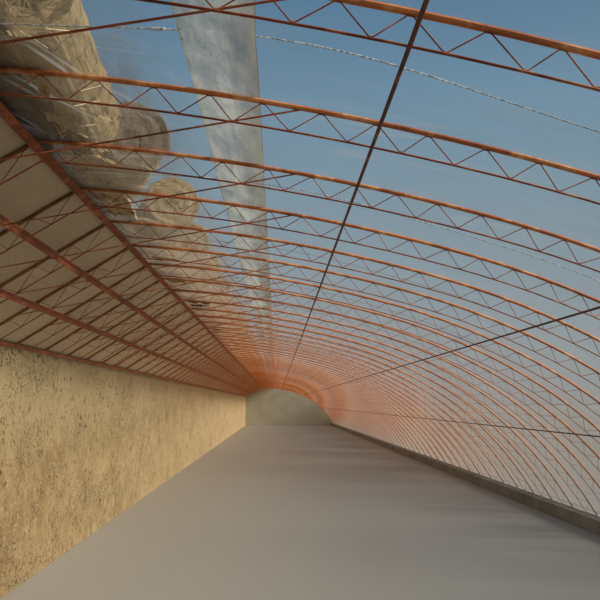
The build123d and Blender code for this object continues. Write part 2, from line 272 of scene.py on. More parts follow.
def sockets_of(tree, inputs):
    """Names the tree's inputs and outputs and returns the modifier's identifier of each."""
    tree.interface.new_socket("Geometry", in_out="OUTPUT", socket_type="NodeSocketGeometry")
    tree.interface.new_socket("Geometry", in_out="INPUT", socket_type="NodeSocketGeometry")
    kinds = {int: "NodeSocketInt", float: "NodeSocketFloat"}
    return {name: tree.interface.new_socket(
        name, in_out="INPUT", socket_type=kinds[type(value)]).identifier
        for name, value in inputs.items()}


def bars_in_a_row(obj, material, **sizes):
    """Turns wires into round bars and repeats them along the house, by Geometry Nodes."""
    inputs = {"Sides": 6, "Count": 1, "First": 0.0, "Pitch": 1.0, **sizes}
    tree = bpy.data.node_groups.new("bars in a row", "GeometryNodeTree")
    names = sockets_of(tree, inputs)

    def node(kind, settings=(), links=()):
        new = tree.nodes.new(kind)
        for key, value in dict(settings).items():
            setattr(new, key, value)
        for key, value in dict(links).items():
            tree.links.new(value, new.inputs[key])
        return new

    given = node("NodeGroupInput").outputs
    curve = node("GeometryNodeMeshToCurve", links={"Mesh": given["Geometry"]})
    width = node("GeometryNodeInputNamedAttribute", {"data_type": "FLOAT"})
    width.inputs["Name"].default_value = "radius_of_bar"
    ring = node("GeometryNodeCurvePrimitiveCircle", links={"Resolution": given["Sides"]})
    ring.inputs["Radius"].default_value = 1.0
    tube = node("GeometryNodeCurveToMesh", links={
        "Curve": curve.outputs[0], "Profile Curve": ring.outputs[0],
        "Scale": width.outputs["Attribute"]})
    tube.inputs["Fill Caps"].default_value = True
    start = node("ShaderNodeCombineXYZ", links={"X": given["First"]})
    step = node("ShaderNodeCombineXYZ", links={"X": given["Pitch"]})
    row = node("GeometryNodeMeshLine", {"mode": "OFFSET"}, {
        "Count": given["Count"], "Start Location": start.outputs[0],
        "Offset": step.outputs[0]})
    copies = node("GeometryNodeInstanceOnPoints", links={
        "Points": row.outputs[0], "Instance": tube.outputs[0]})
    real = node("GeometryNodeRealizeInstances", links={"Geometry": copies.outputs[0]})
    coated = node("GeometryNodeSetMaterial", links={"Geometry": real.outputs[0]})
    coated.inputs["Material"].default_value = material
    node("NodeGroupOutput", links={"Geometry": coated.outputs[0]})
    modifier = obj.modifiers.new("row", "NODES")
    modifier.node_group = tree
    for name, value in inputs.items():
        modifier[names[name]] = value
    made = bpy.data.meshes.new_from_object(
        obj.evaluated_get(bpy.context.evaluated_depsgraph_get()))
    obj.modifiers.remove(modifier)
    obj.data = made
    made.materials.clear()
    made.materials.append(material)
    return obj


def smooth(obj, flat_over=40):
    """Shades round what turns less than flat_over degrees."""
    obj.data.shade_smooth()
    obj.data.set_sharp_from_angle(angle=radians(flat_over))
    return obj


def zigzag(panels, start, end, at, shift):
    """Nodes of one bent rod: flats on the upper bar at start, end and between, and flats on the
    lower bar halfway. at(place, height) gives a point, and shift spaces the nodes unevenly."""
    upper, lower = -TOP_RADIUS - WEB_WELD, -TRUSS_DEPTH + LOW_RADIUS + WEB_WELD
    nodes = []
    for i in range(2 * panels + 1):
        place = start + (end - start) * i / (2 * panels)
        if 0 < i < 2 * panels:
            place += WEB_UNEVEN * noise.noise(Vector((i * 1.7, shift * 9.1, 0.3)))
        height = lower if i % 2 else upper
        flat = copysign(WEB_FLAT * (LOWER_FLAT_SHARE if i % 2 else 1.0), end - start)
        nodes += [at(place - flat, height), at(place + flat, height)]
    return nodes


low_start = along_at(RIDGE_SOUTH + KNEE_SOUTH, -TRUSS_DEPTH)
arch_top = [arch(FOOT * i / ARCH_STEPS) for i in range(ARCH_STEPS + 1)]
arch_low = [arch(low_start + (FOOT - low_start) * i / ARCH_STEPS, -TRUSS_DEPTH)
            for i in range(ARCH_STEPS + 1)]
top_line = [rafter(-RAFTER_TOE)] + arch_top
low_line = [rafter(*place) for place in LOW_ROD_START] + arch_low
brace_line = [rafter(BRACE_FROM, -BRACE_UNDER), arch(along_at(BRACE_TO), -BRACE_UNDER)]
tube_primer = painted_steel("red-brown primer", *TUBE_PRIMER, rust=0.35, painted_shade=0.8)
rod_primer = painted_steel("dark primer on rods", *ROD_PRIMER, rust=0.4, painted_shade=0.35)
truss_nodes = sorted(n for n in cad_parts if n.startswith("truss_group"))
row = {"Count": TRUSSES, "First": GABLE_X + BAY, "Pitch": BAY}

tubes = bars_in_a_row(wires("truss_top_tubes", [(TOP_RADIUS, top_line)]), tube_primer,
                      Sides=8, **row)
chords = bars_in_a_row(
    wires("truss_chord_rods", [(LOW_RADIUS, low_line), (BRACE_RADIUS, brace_line)]),
    rod_primer, **row)
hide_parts(*truss_nodes)
webs = []
for variant in range(VARIANTS):
    south = zigzag(round(FOOT / WEB_PITCH), low_start + WEB_FROM_KNEE, FOOT, arch, variant)
    rear = zigzag(REAR_PANELS, REAR_WEB_FROM, REAR_WEB_TO, rafter, variant + 0.5)
    webs.append(bars_in_a_row(
        wires(f"truss_web_rods_{variant + 1}", [(WEB_RADIUS, south), (WEB_RADIUS, rear)]),
        rod_primer, Sides=5, Count=TRUSSES // VARIANTS, First=GABLE_X + BAY * (variant + 1),
        Pitch=BAY * VARIANTS))
for piece in [tubes, chords] + webs:
    smooth(piece)
    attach(piece, "root")

# Bars along the house. Steel angles hold the trusses upright under the rear roof, a lighter one
# lies along the wall's head, and three thin tubes are tied under the arches. All are brushed
# with primer before they go up, so the paint is uneven and rusts at the edges.

ANGLE_PRIMER = ((0.36, 0.115, 0.040, 1), (0.24, 0.058, 0.020, 1), (0.11, 0.026, 0.011, 1),
                (0.52, 0.18, 0.065, 1))
PLATE_PRIMER = ((0.52, 0.19, 0.075, 1), (0.38, 0.105, 0.040, 1), (0.20, 0.055, 0.024, 1),
                (0.66, 0.30, 0.13, 1))
TIE_PAINT = ((0.26, 0.105, 0.062, 1), (0.15, 0.050, 0.032, 1), (0.065, 0.023, 0.016, 1),
             (0.20, 0.085, 0.050, 1))


def dress(material, *names):
    """Gives CAD nodes that are shown as they are their material."""
    for name in names:
        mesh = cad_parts[name].data
        mesh.materials.clear()
        mesh.materials.append(material)


dress(painted_steel("dark red primer", *ANGLE_PRIMER),
      "mid_roof_purlin", "lower_roof_purlin", "ridge_angle")
dress(painted_steel("orange-red primer", *PLATE_PRIMER, rust=0.4), "wall_top_plate")
dress(painted_steel("brown paint on tubes", *TIE_PAINT),
      "arch_tie_upper", "arch_tie_middle", "arch_tie_lower")

# Earth wall. Mud and chopped straw are rammed and cut back with a spade, which leaves upright
# gouges, lumps and loose straws on the face. It leans back on the outside, is painted paler
# inside towards the far end and the top as painted light, and has a ragged band of darker mud
# along its head.

WALL_HEAD_THICK, WALL_UNDER_RAFTER = 0.4, 0.0095
WALL_STEP_LONG = 0.055
FACE_STEP, HEAD_STEP, BACK_STEP, BASE_STEP = 0.030, 0.1, 0.09, 0.35
GOUGE_DEPTH, BACK_ROUGHER = 0.016, 1.6
GOUGE_FADES = (0.05, 0.03)
# Mud: pale, deep, dark, which is the painted shade in pits and hollows, and the head's mud.
MUD = ((0.58, 0.41, 0.195, 1), (0.33, 0.205, 0.085, 1), (0.13, 0.07, 0.026, 1),
       (0.185, 0.125, 0.07, 1))
# A near-white mud colour for painted light, and pale straw flecks.
MUD_PAINTED_LIGHT, STRAW_FLECK = (0.94, 0.73, 0.41, 1), (0.80, 0.64, 0.38, 1)
SPADE_LEAN = radians(14)
HEAD_BAND = (0.035, 0.065)
# Where the painted light rises along the house and up the wall, on the inner side.
PAINTED_LIGHT_ALONG = (GABLE_X + 4.0, GABLE_X + 12.0)
PAINTED_LIGHT_UP = (0.60, 1.05)
INNER_SIDE = (WALL_FACE_Y + 0.15, WALL_FACE_Y + 0.05)


def earth_face(name, pale, deep, dark, head, head_height):
    """Rough hardened mud: patches of two tones, leaning spade strokes, clusters of pits and hollows
    that are sunk and darkened as painted shade, pale straws, painted light that makes the inner
    side paler towards the far end and the top, and a ragged band of other mud that begins about
    head_height."""
    material, where = surface(name)
    leaning = where.leaning(SPADE_LEAN)
    patches = where.stretched(0.8, 1, 0.8).noise(4.2, 6.0, 0.66)
    lumps = leaning.stretched(1, 1, 0.55).noise(15.0, 7.0, 0.70)
    strokes = leaning.stretched(1, 1, 0.26).noise(44.0, 5.0, 0.7)
    grain = where.noise(110.0, 5.0, 0.75)
    clusters = where.stretched(0.8, 1, 1).noise(4.0, 4.0, 0.65).over(0.47, 0.60)
    pits = leaning.stretched(1, 1, 0.75).noise(72.0, 4.0, 0.65).over(0.575, 0.625) * clusters
    hollows = where.stretched(1, 1, 0.7).noise(24.0, 7.0, 0.75).over(0.595, 0.66)
    straws = leaning.stretched(1.3, 1, 0.3).noise(115.0, 2.0, 0.4).over(0.62, 0.69)
    flat_straws = where.stretched(0.30, 1, 1.3).noise(150.0, 2.0, 0.4).over(0.64, 0.71)
    head_mud = (where.part(2) + 0.10 * lumps + 0.05 * patches).over(
        head_height + HEAD_BAND[0], head_height + HEAD_BAND[1])
    tone = 0.38 * patches + 0.36 * lumps + 0.12 * strokes + 0.14 * grain
    colour = tone.over(0.41, 0.57).blend(deep, pale)
    # Painted light: the inner side is paler towards the far end and the top.
    lit_paler = where.part(0).over(*PAINTED_LIGHT_ALONG).maths("MAXIMUM", where.part(2).over(*PAINTED_LIGHT_UP))
    colour = (0.75 * lit_paler * where.part(1).over(*INNER_SIDE)).blend(colour, MUD_PAINTED_LIGHT)
    # Pits and hollows, sunk in the bump, are darkened as painted shade.
    colour = (0.70 * hollows + 0.85 * pits).blend(colour, dark)
    colour = (0.6 * head_mud).blend(colour, head)
    colour = (0.55 * straws + 0.5 * flat_straws).blend(colour, STRAW_FLECK)
    height = lumps + 0.5 * strokes + 0.25 * grain - 0.5 * pits - 0.4 * hollows
    return finish(material, Base_Color=colour, Roughness=0.95, Normal=height.bump(0.05, 1.0))


def put(name, points, faces, material, smoothed=True):
    """Mesh in the house's own place, on the part's one body."""
    mesh = bpy.data.meshes.new(name)
    mesh.from_pydata([tuple(p) for p in points], [], faces)
    mesh.materials.append(material)
    obj = bpy.data.objects.new(name, mesh)
    bpy.context.scene.collection.objects.link(obj)
    if smoothed:
        smooth(obj, 50)
    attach(obj, "root")
    return obj


def drawn_out(section, stations):
    """Points and faces of a closed section carried along the house, its ends closed.
    section gives the ring at a station, the same number of points each time."""
    points, faces = [], []
    for x in stations:
        ring = section(x)
        points += ring
    n = len(ring)
    for i in range(len(stations) - 1):
        for j in range(n):
            a, b = i * n + j, i * n + (j + 1) % n
            faces.append((a, b, b + n, a + n))
    faces.append(tuple(range(n - 1, -1, -1)))
    last = (len(stations) - 1) * n
    faces.append(tuple(range(last, last + n)))
    return points, faces


def spaced(a, b, step):
    """Numbers from a to b at about this step, both ends included."""
    n = max(1, round(abs(b - a) / step))
    return [a + (b - a) * i / n for i in range(n + 1)]


wall_head = rafter(0, -WALL_UNDER_RAFTER)
wall_back = rafter(-WALL_HEAD_THICK, -WALL_UNDER_RAFTER)
wall_corners = [Vector((0, WALL_FACE_Y, 0)), Vector((0, wall_head.y, wall_head.z)),
                Vector((0, wall_back.y, wall_back.z)), Vector((0, wall_high.y, 0))]
wall_ring = []
for a, b, step, depth in zip(wall_corners, wall_corners[1:] + wall_corners[:1],
                             (FACE_STEP, HEAD_STEP, BACK_STEP, BASE_STEP),
                             (1.0, 0.0, BACK_ROUGHER, 0.0)):
    span = (b - a).length
    side = (b - a).normalized()
    outward = Vector((0, -side.z, side.y))
    for t in spaced(0, 1, step / span)[:-1]:
        edge = min(1.0, t * span / GOUGE_FADES[0], (1 - t) * span / GOUGE_FADES[1])
        wall_ring.append((a + (b - a) * t, outward, depth * edge))


def wall_section(x):
    """The wall's outline at x, its inner face and its back pushed in and out by gouges."""
    ring = []
    for place, outward, depth in wall_ring:
        p = place + Vector((x, 0, 0))
        if depth:
            rough = noise.fractal(Vector((p.x * 6, p.y * 6, p.z * 3.2)), 0.8, 2.0, 4)
            broad = noise.noise(Vector((p.x * 0.9, p.y, p.z * 1.4)))
            p = p + outward * depth * GOUGE_DEPTH * (0.65 * rough + 0.7 * broad - 0.35)
        ring.append(p)
    return ring


north_wall = put("earth_wall_face", *drawn_out(
    wall_section, spaced(OUTER_WEST, OUTER_EAST, WALL_STEP_LONG)),
    earth_face("rammed earth", *MUD, wall_head.z))
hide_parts("north_wall")

# Gables. Each is a thinner earth wall with its head cut to the arch, smoothed with a coat of
# grey-green mud that has dried in clouds and fine cracks.

GABLE_PALE, GABLE_DEEP = (0.52, 0.51, 0.41, 1), (0.41, 0.40, 0.31, 1)
plaster, where = surface("smoothed mud coat")
stains = where.noise(1.7, 5.0, 0.6).over(0.35, 0.7)
cracks = where.noise(14.0, 6.0, 0.65)
finish(plaster, Base_Color=(0.6 * stains + 0.4 * cracks).blend(GABLE_DEEP, GABLE_PALE),
       Roughness=0.93, Normal=(cracks + 0.6 * where.noise(60.0, 3.0)).bump(0.006, 0.7))
dress(plaster, "east_gable_wall", "west_gable_north_pier", "west_gable_south_wall",
      "west_gable_over_door")

# Timber. The plain doorway in the near gable is lined with boards and bridged by a sawn lintel,
# and a sawn lath holds the film's foot on the beam. All of it is softwood, left to weather.

DOOR_TIMBER = ((0.30, 0.205, 0.115, 1), (0.13, 0.08, 0.042, 1))
LATH_TIMBER = ((0.34, 0.25, 0.15, 1), (0.16, 0.11, 0.06, 1))
UPRIGHT_GRAIN, LONG_GRAIN = (1, 1, 0.06), (0.06, 0.4, 1)


def sawn_timber(name, pale, deep, along):
    """Weathered softwood, its grain stretched along one axis."""
    material, where = surface(name)
    grain = where.stretched(*along).noise(60.0, 5.0, 0.6)
    worn = where.noise(5.0, 4.0, 0.6).over(0.35, 0.7)
    colour = (0.7 * grain + 0.3 * worn).over(0.32, 0.68).blend(deep, pale)
    return finish(material, Base_Color=colour, Roughness=0.8, Normal=grain.bump(0.0015, 0.7))


dress(sawn_timber("door timber", *DOOR_TIMBER, UPRIGHT_GRAIN), "door_lining")
dress(sawn_timber("laths and lintel", *LATH_TIMBER, LONG_GRAIN),
      "door_lintel", "film_foot_batten")

# Sill beam. A low strip of concrete, cast along the south side and trowelled smooth. The arches'
# feet are set on its top.

CONCRETE_DARK, CONCRETE_PALE = (0.21, 0.20, 0.175, 1), (0.36, 0.35, 0.31, 1)
concrete, where = surface("trowelled concrete")
cloud = where.noise(4.0, 6.0, 0.65)
finish(concrete, Base_Color=cloud.over(0.3, 0.7).blend(CONCRETE_DARK, CONCRETE_PALE),
       Roughness=0.88, Normal=(cloud + 0.5 * where.noise(90.0, 3.0)).bump(0.003, 0.6))
dress(concrete, "south_sill_beam")

# Rear roof. Smooth grey-brown boards lie on the rafters, butted over every second one, with a
# thick coat of mud and straw on top that runs down on to the wall's head.

BOARD_DULL, BOARD_PALE = (0.33, 0.25, 0.16, 1), (0.45, 0.36, 0.245, 1)
BOARD_FAR_PALE, BOARD_SPECK = (0.90, 0.68, 0.46, 1), (0.20, 0.14, 0.085, 1)
PALER_ALONG = (GABLE_X + 1.6, GABLE_X + 7.0)
COVER_MUD = ((0.42, 0.32, 0.19, 1), (0.24, 0.17, 0.10, 1), (0.10, 0.07, 0.04, 1),
             (0.30, 0.23, 0.14, 1))
COVER_BAND_UP = 1.6
boards, where = surface("grey-brown roof board")
bloom = where.noise(1.3, 4.0, 0.55).over(0.3, 0.7)
specks = where.noise(34.0, 4.0, 0.6).over(0.55, 0.75)
# Paler towards the far end.
far_paler = where.part(0).over(*PALER_ALONG)
board = (0.8 * far_paler).blend(bloom.blend(BOARD_DULL, BOARD_PALE), BOARD_FAR_PALE)
finish(boards, Base_Color=(0.35 * specks).blend(board, BOARD_SPECK), Roughness=0.62,
       Normal=where.noise(7.0, 3.0).bump(0.006, 0.4))
dress(boards, "rear_roof_boards_lower", "rear_roof_boards_upper")
dress(earth_face("mud and straw cover", *COVER_MUD, COVER_BAND_UP), "rear_roof_earth_cover")

# Film. One clear plastic sheet is pulled over the arches from the ridge to the beam, and a
# narrower sheet above it runs over the ridge. Both belly a little between trusses, are full of
# fine creases, and are dulled by dust towards the ground and the mats. Towards the far end they
# are more opaque, rust-brown and glowing orange as painted far haze.

FILM_OFF, FILM_OVER_RAFTER = 0.0074, 0.0095
BELLY, PRESSED, WRINKLE = 0.004, 0.005, 0.0010
CORD_EVERY = 2
FILM_STEP_LONG, FILM_STEP_DOWN = 0.05, 0.075
FOOT_TAUT = 0.3
FILM_LAP, PAST_RIDGE = 0.06, 0.035
RIDGE_LAND, LAND_STEP = (0.562, 0.656), 0.05
FILM_CLEAR, FILM_MILKY, FILM_DULL, FILM_FAR_HAZE, FILM_VEILED = 0.13, 0.22, 0.56, 0.36, 0.42
FILM_COLOUR, FILM_DUST, WHITE = (0.50, 0.58, 0.62, 1), (0.27, 0.25, 0.21, 1), (1.0, 1.0, 1.0, 1)
# A rust-brown tint that is painted far haze, and a straw dust colour.
FAR_HAZE_TINT, STRAW_DUST = (0.26, 0.19, 0.14, 1), (0.40, 0.33, 0.24, 1)
UNLIT, LIT_CREASE, LIT_DUST = (0.0, 0.0, 0.0, 1), (0.27, 0.30, 0.31, 1), (0.28, 0.34, 0.36, 1)
# The orange glow of the painted far haze, and the same where dust lies low down.
LIT_FAR_HAZE, LIT_FAR_HAZE_DUST, LIT_HAZE = (
    (0.56, 0.27, 0.13, 1), (0.68, 0.52, 0.40, 1), (0.46, 0.42, 0.34, 1))
LET_THROUGH = 0.5
vent_low, vent_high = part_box("vent_film_band")
# Creases: how far each kind is turned, its scale, and whether it keeps to the north.
CREASES = ((0.10, 5.0, False), (-0.14, 3.4, False), (1.35, 9.0, True), (-1.05, 6.0, True))
CREASED_NORTH = (vent_high.y - 0.12, vent_high.y + 0.03)
SPLASHED_DOWN = (1.25, 0.15)
HAZIER_ALONG = (GABLE_X + 3.0, GABLE_X + 10.0)
VEILED_NORTH = (vent_high.y + 0.06, vent_high.y + 0.22)
HAZY_NORTH, HAZY_ALONG = (vent_high.y, vent_high.y + 0.16), (GABLE_X + 2.3, GABLE_X + 3.9)
ON_MATS_NORTH = (WALL_FACE_Y - 0.84, WALL_FACE_Y - 0.75)

# The plastic is more opaque in its folds and creases and where dust lies, and what is opaque
# lets some of the daylight through, given as emission. Towards the far end it is also more
# opaque and glows orange as painted far haze.
clear_film, where = surface("clear film")
cloud = where.noise(0.9, 4.0, 0.6).over(0.35, 0.70)
lines = None
for angle, scale, in_the_north in CREASES:
    pulled = where.turned(angle).stretched(1.0, 0.12, 0.12).noise(scale, 3.0, 0.55) - 0.5
    line = 1.0 - pulled.maths("ABSOLUTE").over(0.0, 0.022)
    line = line * where.turned(-angle).noise(1.7, 3.0, 0.5).over(0.50, 0.72)
    if in_the_north:
        line = 1.8 * line * where.part(1).over(*CREASED_NORTH)
    lines = line if lines is None else lines.maths("MAXIMUM", line)
bands = where.stretched(1.0, 0.2, 0.2).noise(9.0, 5.0, 0.6).over(0.50, 0.75)
low = where.part(2).over(*SPLASHED_DOWN)
# Painted far haze: more opaque, rust-brown and glowing orange towards the far end.
far_haze = where.part(0).over(*HAZIER_ALONG)
streaks = where.leaning(0.5).stretched(0.25, 1.0, 1.0).noise(8.0, 5.0, 0.6).over(0.40, 0.62)
veil = (where.part(1) + 0.10 * cloud).over(*VEILED_NORTH) * (0.45 + 0.55 * streaks)
haze = where.part(1).over(*HAZY_NORTH) * (0.55 + 0.45 * streaks)
haze = haze * where.part(0).over(*HAZY_ALONG)
opaque = FILM_CLEAR + FILM_MILKY * (0.35 * cloud + 0.9 * lines + 0.35 * bands)
opaque = opaque + FILM_DULL * low * (0.75 + 0.25 * cloud) + FILM_VEILED * veil
opaque = opaque * (1.0 - 0.6 * where.part(1).over(*ON_MATS_NORTH)) + FILM_FAR_HAZE * far_haze + 0.5 * haze
colour = low.over(0.15, 0.9).blend((0.5 * lines).blend(FILM_COLOUR, WHITE), FILM_DUST)
colour = (0.9 * veil).blend((0.75 * far_haze).blend(colour, FAR_HAZE_TINT), STRAW_DUST)
light = (0.6 * haze).blend(lines.blend(UNLIT, LIT_CREASE), LIT_HAZE)
light = far_haze.blend(low.blend(light, LIT_DUST), low.blend(LIT_FAR_HAZE, LIT_FAR_HAZE_DUST))
finish(clear_film, Base_Color=colour, Alpha=opaque, Roughness=0.22, Emission_Color=light,
       Emission_Strength=LET_THROUGH, Specular_IOR_Level=0.35,
       Normal=(bands + 0.6 * lines).bump(0.006, 0.5))


def belly(x):
    """How far the film stands off the arches at x: bulged, or held down where a cord lies."""
    t = (x - GABLE_X) / BAY
    out = BELLY * sin(2 * pi * t) ** 2
    if int(t // 1) % CORD_EVERY == 0:
        return out - PRESSED * sin(pi * t) ** 2
    return out + 0.5 * BELLY * sin(pi * t) ** 2


def skin(name, profile, material, lift):
    """Sheet over the arches: profile gives (point, outward, slack) down the roof."""
    stations = spaced(OUTER_WEST, OUTER_EAST, FILM_STEP_LONG)
    points, faces = [], []
    for x in stations:
        out = belly(x)
        for place, outward, slack in profile:
            wrinkle = WRINKLE * noise.noise(Vector((x * 6, place.y * 5, place.z * 5)))
            points.append(place + Vector((x, 0, 0)) + outward * (lift + slack * (out + wrinkle)))
    n = len(profile)
    for i in range(len(stations) - 1):
        for j in range(n - 1):
            a = i * n + j
            faces.append((a, a + 1, a + n + 1, a + n))
    return put(name, points, faces, material)


def down_arch(start, end, step):
    """A sheet's line down the arch, its slack taken up towards the beam."""
    return [(arch(s), arch(s, 1.0) - arch(s), min(1.0, (FOOT - s) / FOOT_TAUT))
            for s in spaced(start, end, step)]


def held_sheet(piece, node, line):
    """Hides the sheet's CAD node and adds up the length of its line, which nothing uses."""
    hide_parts(node)
    length = sum((b[0] - a[0]).length for a, b in zip(line, line[1:]))


vent_top = along_at(WALL_FACE_Y - vent_high.y, FILM_OFF)
vent_foot = along_at(WALL_FACE_Y - vent_low.y, FILM_OFF)
over_ridge = [(rafter(s, FILM_OVER_RAFTER), rafter(s, 1.0) - rafter(s), 0.0)
              for s in spaced(*RIDGE_LAND, LAND_STEP)]
main_line = down_arch(vent_foot - FILM_LAP, FOOT, FILM_STEP_DOWN)
upper_line = over_ridge + down_arch(PAST_RIDGE, vent_top + FILM_LAP, FILM_STEP_DOWN)
held_sheet(skin("south_film", main_line, clear_film, FILM_OFF),
           "main_film", main_line)
held_sheet(skin("ridge_film", upper_line, clear_film, FILM_OFF),
           "upper_film", upper_line)

# Vent strip. A doubled strip of milky plastic laps the joint of the two sheets and can be slid
# down for air. It is folded and speckled, dusty along its foot, and hemmed along both edges.

VENT_STEP, HEM_STEP = 0.03, 0.01
VENT_LIFT, HEM_LIFT = 0.003, 0.005
FOLD_SHADE, FOLD_LIGHT, PULL_LIGHT = (
    (0.42, 0.48, 0.52, 1), (0.92, 0.95, 0.92, 1), (1.0, 1.0, 0.98, 1))
VENT_DUST, VENT_SPECK = (0.42, 0.37, 0.26, 1), (0.10, 0.085, 0.06, 1)
VENT_UNLIT, VENT_LIT = (0.04, 0.045, 0.04, 1), (0.38, 0.41, 0.37, 1)
DUSTY_SOUTH = (vent_low.y + 0.20, vent_low.y + 0.11)
HEMS = (("vent_hem_upper", vent_top - 0.001, vent_top + 0.004, (0.10, 0.10, 0.075, 1)),
        ("vent_hem_lower", vent_foot - 0.005, vent_foot + 0.001, (0.27, 0.20, 0.14, 1)))
milky, where = surface("milky vent strip")
folds = where.turned(0.12).stretched(0.30, 1.0, 1.0).noise(13.0, 5.0, 0.6).over(0.36, 0.62)
pulls = where.turned(0.9).stretched(0.35, 1.0, 1.0).noise(11.0, 4.0, 0.6).over(0.50, 0.66)
dusty = (where.part(1) + 0.22 * where.noise(6.0, 5.0, 0.65)).over(*DUSTY_SOUTH)
specks = where.noise(90.0, 3.0, 0.6).over(0.60, 0.66) * where.noise(3.0, 3.0).over(0.48, 0.62)
shade = (0.5 * pulls).blend(folds.blend(FOLD_SHADE, FOLD_LIGHT), PULL_LIGHT)
shade = (0.8 * specks).blend((0.6 * dusty).blend(shade, VENT_DUST), VENT_SPECK)
light = (1.0 - 0.5 * dusty) * (1.0 - specks) * (folds + 0.4 * pulls)
finish(milky, Base_Color=shade, Roughness=0.4, Emission_Color=light.blend(VENT_UNLIT, VENT_LIT),
       Emission_Strength=LET_THROUGH, Alpha=0.66 + 0.16 * folds + 0.10 * dusty + 0.10 * specks,
       Normal=(folds + 0.5 * pulls).bump(0.006, 0.6))
vent_line = down_arch(vent_top, vent_foot, VENT_STEP)
vent_strip = skin("vent_strip", vent_line, milky, FILM_OFF + VENT_LIFT)
for name, start, end, tone in HEMS:
    hem_tape = finish(surface(name)[0], Base_Color=tone, Roughness=0.6)
    skin(name, down_arch(start, end, HEM_STEP), hem_tape, FILM_OFF + HEM_LIFT)
held_sheet(vent_strip, "vent_film_band", vent_line)

# Straw mats. Rice straw laid side by side and sewn with twine into thick mats that are unrolled
# down the film at night. By day each lies rolled beside the ridge, askew so that its ends pass
# its neighbours', with its last turn flat over the ridge.

MAT_COUNT, MAT_PITCH, MAT_FIRST = 42, 0.676, 0.169
ROLL_LENGTH, ROLL_RADIUS = 0.63, 0.12
ROLL_SOUTH, ROLL_FLATTENED = 0.828, 0.94
ROLL_YAWS = tuple(radians(a) for a in (14, 20, 12, 5.5, 24, 21, 17))
ROLL_SHIFTS = (-0.02, -0.045, -0.03, -0.045, -0.055, -0.03, -0.04)
UNLIKE = len(ROLL_YAWS)
FILM_FACE, ROLL_REST = 0.009, 0.010
AROUND, DOWN = 46, 24
END_RINGS = (0.93, 0.80, 0.74, 0.60, 0.54, 0.40, 0.33, 0.18, 0.05)
TURN_SUNK, TURN_PROUD = 0.007, 0.002
TURN_THICK, SHAG, RAGGED, LOOSE_EDGE = 0.07, 0.055, 0.012, 2.2
FLAT_STATIONS, FLAT_ROWS = 19, 4
FLAT_LAP, FLAT_STAGGER, FLAT_FRAY, FLAT_SHAG = 0.04, 0.0035, 0.015, 0.003
FLAT_TUCK, FLAT_REACH, FLAT_CORNER, FLAT_CUT = 0.012, 0.2, 0.2, 1.2
FLAT_LEAST, FLAT_RAGGED = 0.13, 0.03
FLAT_ON_REAR, FLAT_BACK_ON_REAR = (0.563, 0.61, 0.656), (0.654, 0.61, 0.568)
REAR_UNDER, REAR_OVER, FLAT_UNDER, FLAT_OVER = 0.019, 0.030, 0.0105, 0.021
# Straw: pale, deep and dark; dark is the painted shade in the gaps and the twine's colour.
STRAW = ((0.60, 0.46, 0.25, 1), (0.30, 0.205, 0.105, 1), (0.075, 0.047, 0.024, 1))
# Straw of the flats of some mats, darkened as painted shade.
SHADED_FLAT_STRAW = (
    (0.135, 0.083, 0.038, 1), (0.062, 0.037, 0.018, 1), (0.022, 0.013, 0.007, 1))
# Straw of the cut ends of some rolls: grey, and darkened as painted shade.
SHADED_CUT_STRAW = ((0.29, 0.23, 0.195, 1), (0.175, 0.14, 0.12, 1), (0.065, 0.05, 0.04, 1))
SHADED_FLATS, SHADED_GREY_ENDS = (1, 3), (1, 4)
PLAIN, SHADED_FLAT, SHADED_CUT_END = range(3)


def straw_surface(name, pale, deep, dark):
    """Straws that run along the mat, in tufts with gaps darkened as painted shade, and rows of
    twine across them.
    """
    straw, where = surface(name, "UV")
    fibres = where.stretched(0.55, 26.0, 1.0).noise(1.0, 5.0, 0.7)
    across = where.stretched(5.0, 3.0, 1.0).turned(0.9).stretched(0.3, 8.0, 1.0)
    across = across.noise(1.0, 3.0, 0.6)
    tufts = where.stretched(1.3, 4.0, 1.0).noise(1.0, 5.0, 0.65)
    twine = where.make("TexWave", {"Vector": where.stretched(1.0, 0.0, 0.0), "Scale": 0.33,
                                   "Distortion": 0.0}, 1, wave_profile="SIN").over(0.985, 0.998)
    colour = (0.55 * fibres + 0.25 * tufts + 0.20 * across).over(0.38, 0.60).blend(deep, pale)
    # Gaps between tufts and between fibres are darkened as painted shade.
    colour = (tufts.over(0.48, 0.37) * 0.75).blend(colour, dark)
    colour = (0.6 * fibres.over(0.40, 0.32)).blend(colour, dark)
    return finish(straw, Base_Color=(0.35 * twine).blend(colour, dark), Roughness=0.9,
                  Normal=(fibres + 0.8 * tufts + 0.3 * across - 0.4 * twine).bump(0.009, 1.0))


def roll_along(n):
    """Distance along the arch at which a roll rests."""
    return along_at(ROLL_SOUTH + ROLL_SHIFTS[n % UNLIKE], FILM_FACE)


def roll_frame(n):
    """Middle of a roll, the way it points, the way across it and the way off the film."""
    along = roll_along(n)
    slope, yaw = ARCH_ANGLES[0] + along / ARCH_RADII[0], ROLL_YAWS[n % UNLIKE]
    up = Vector((0, -sin(slope), cos(slope)))
    axis = Vector((cos(yaw), sin(yaw) * cos(slope), sin(yaw) * sin(slope)))
    place = arch(along, ROLL_REST) + Vector((GABLE_X + MAT_FIRST + n * MAT_PITCH, 0, 0))
    return place + up * ROLL_RADIUS * ROLL_FLATTENED, axis, up.cross(axis), up


def row_faces(first, rows, columns):
    """Quads between rings of points that follow each other."""
    return [(first + i * columns + j, first + i * columns + (j + 1) % columns,
             first + (i + 1) * columns + (j + 1) % columns, first + (i + 1) * columns + j)
            for i in range(rows - 1) for j in range(columns)]


def end_faces(first, rows, columns):
    """The two faces that close such a row of rings."""
    last = first + (rows - 1) * columns
    return [tuple(range(first + columns - 1, first - 1, -1)), tuple(range(last, last + columns))]


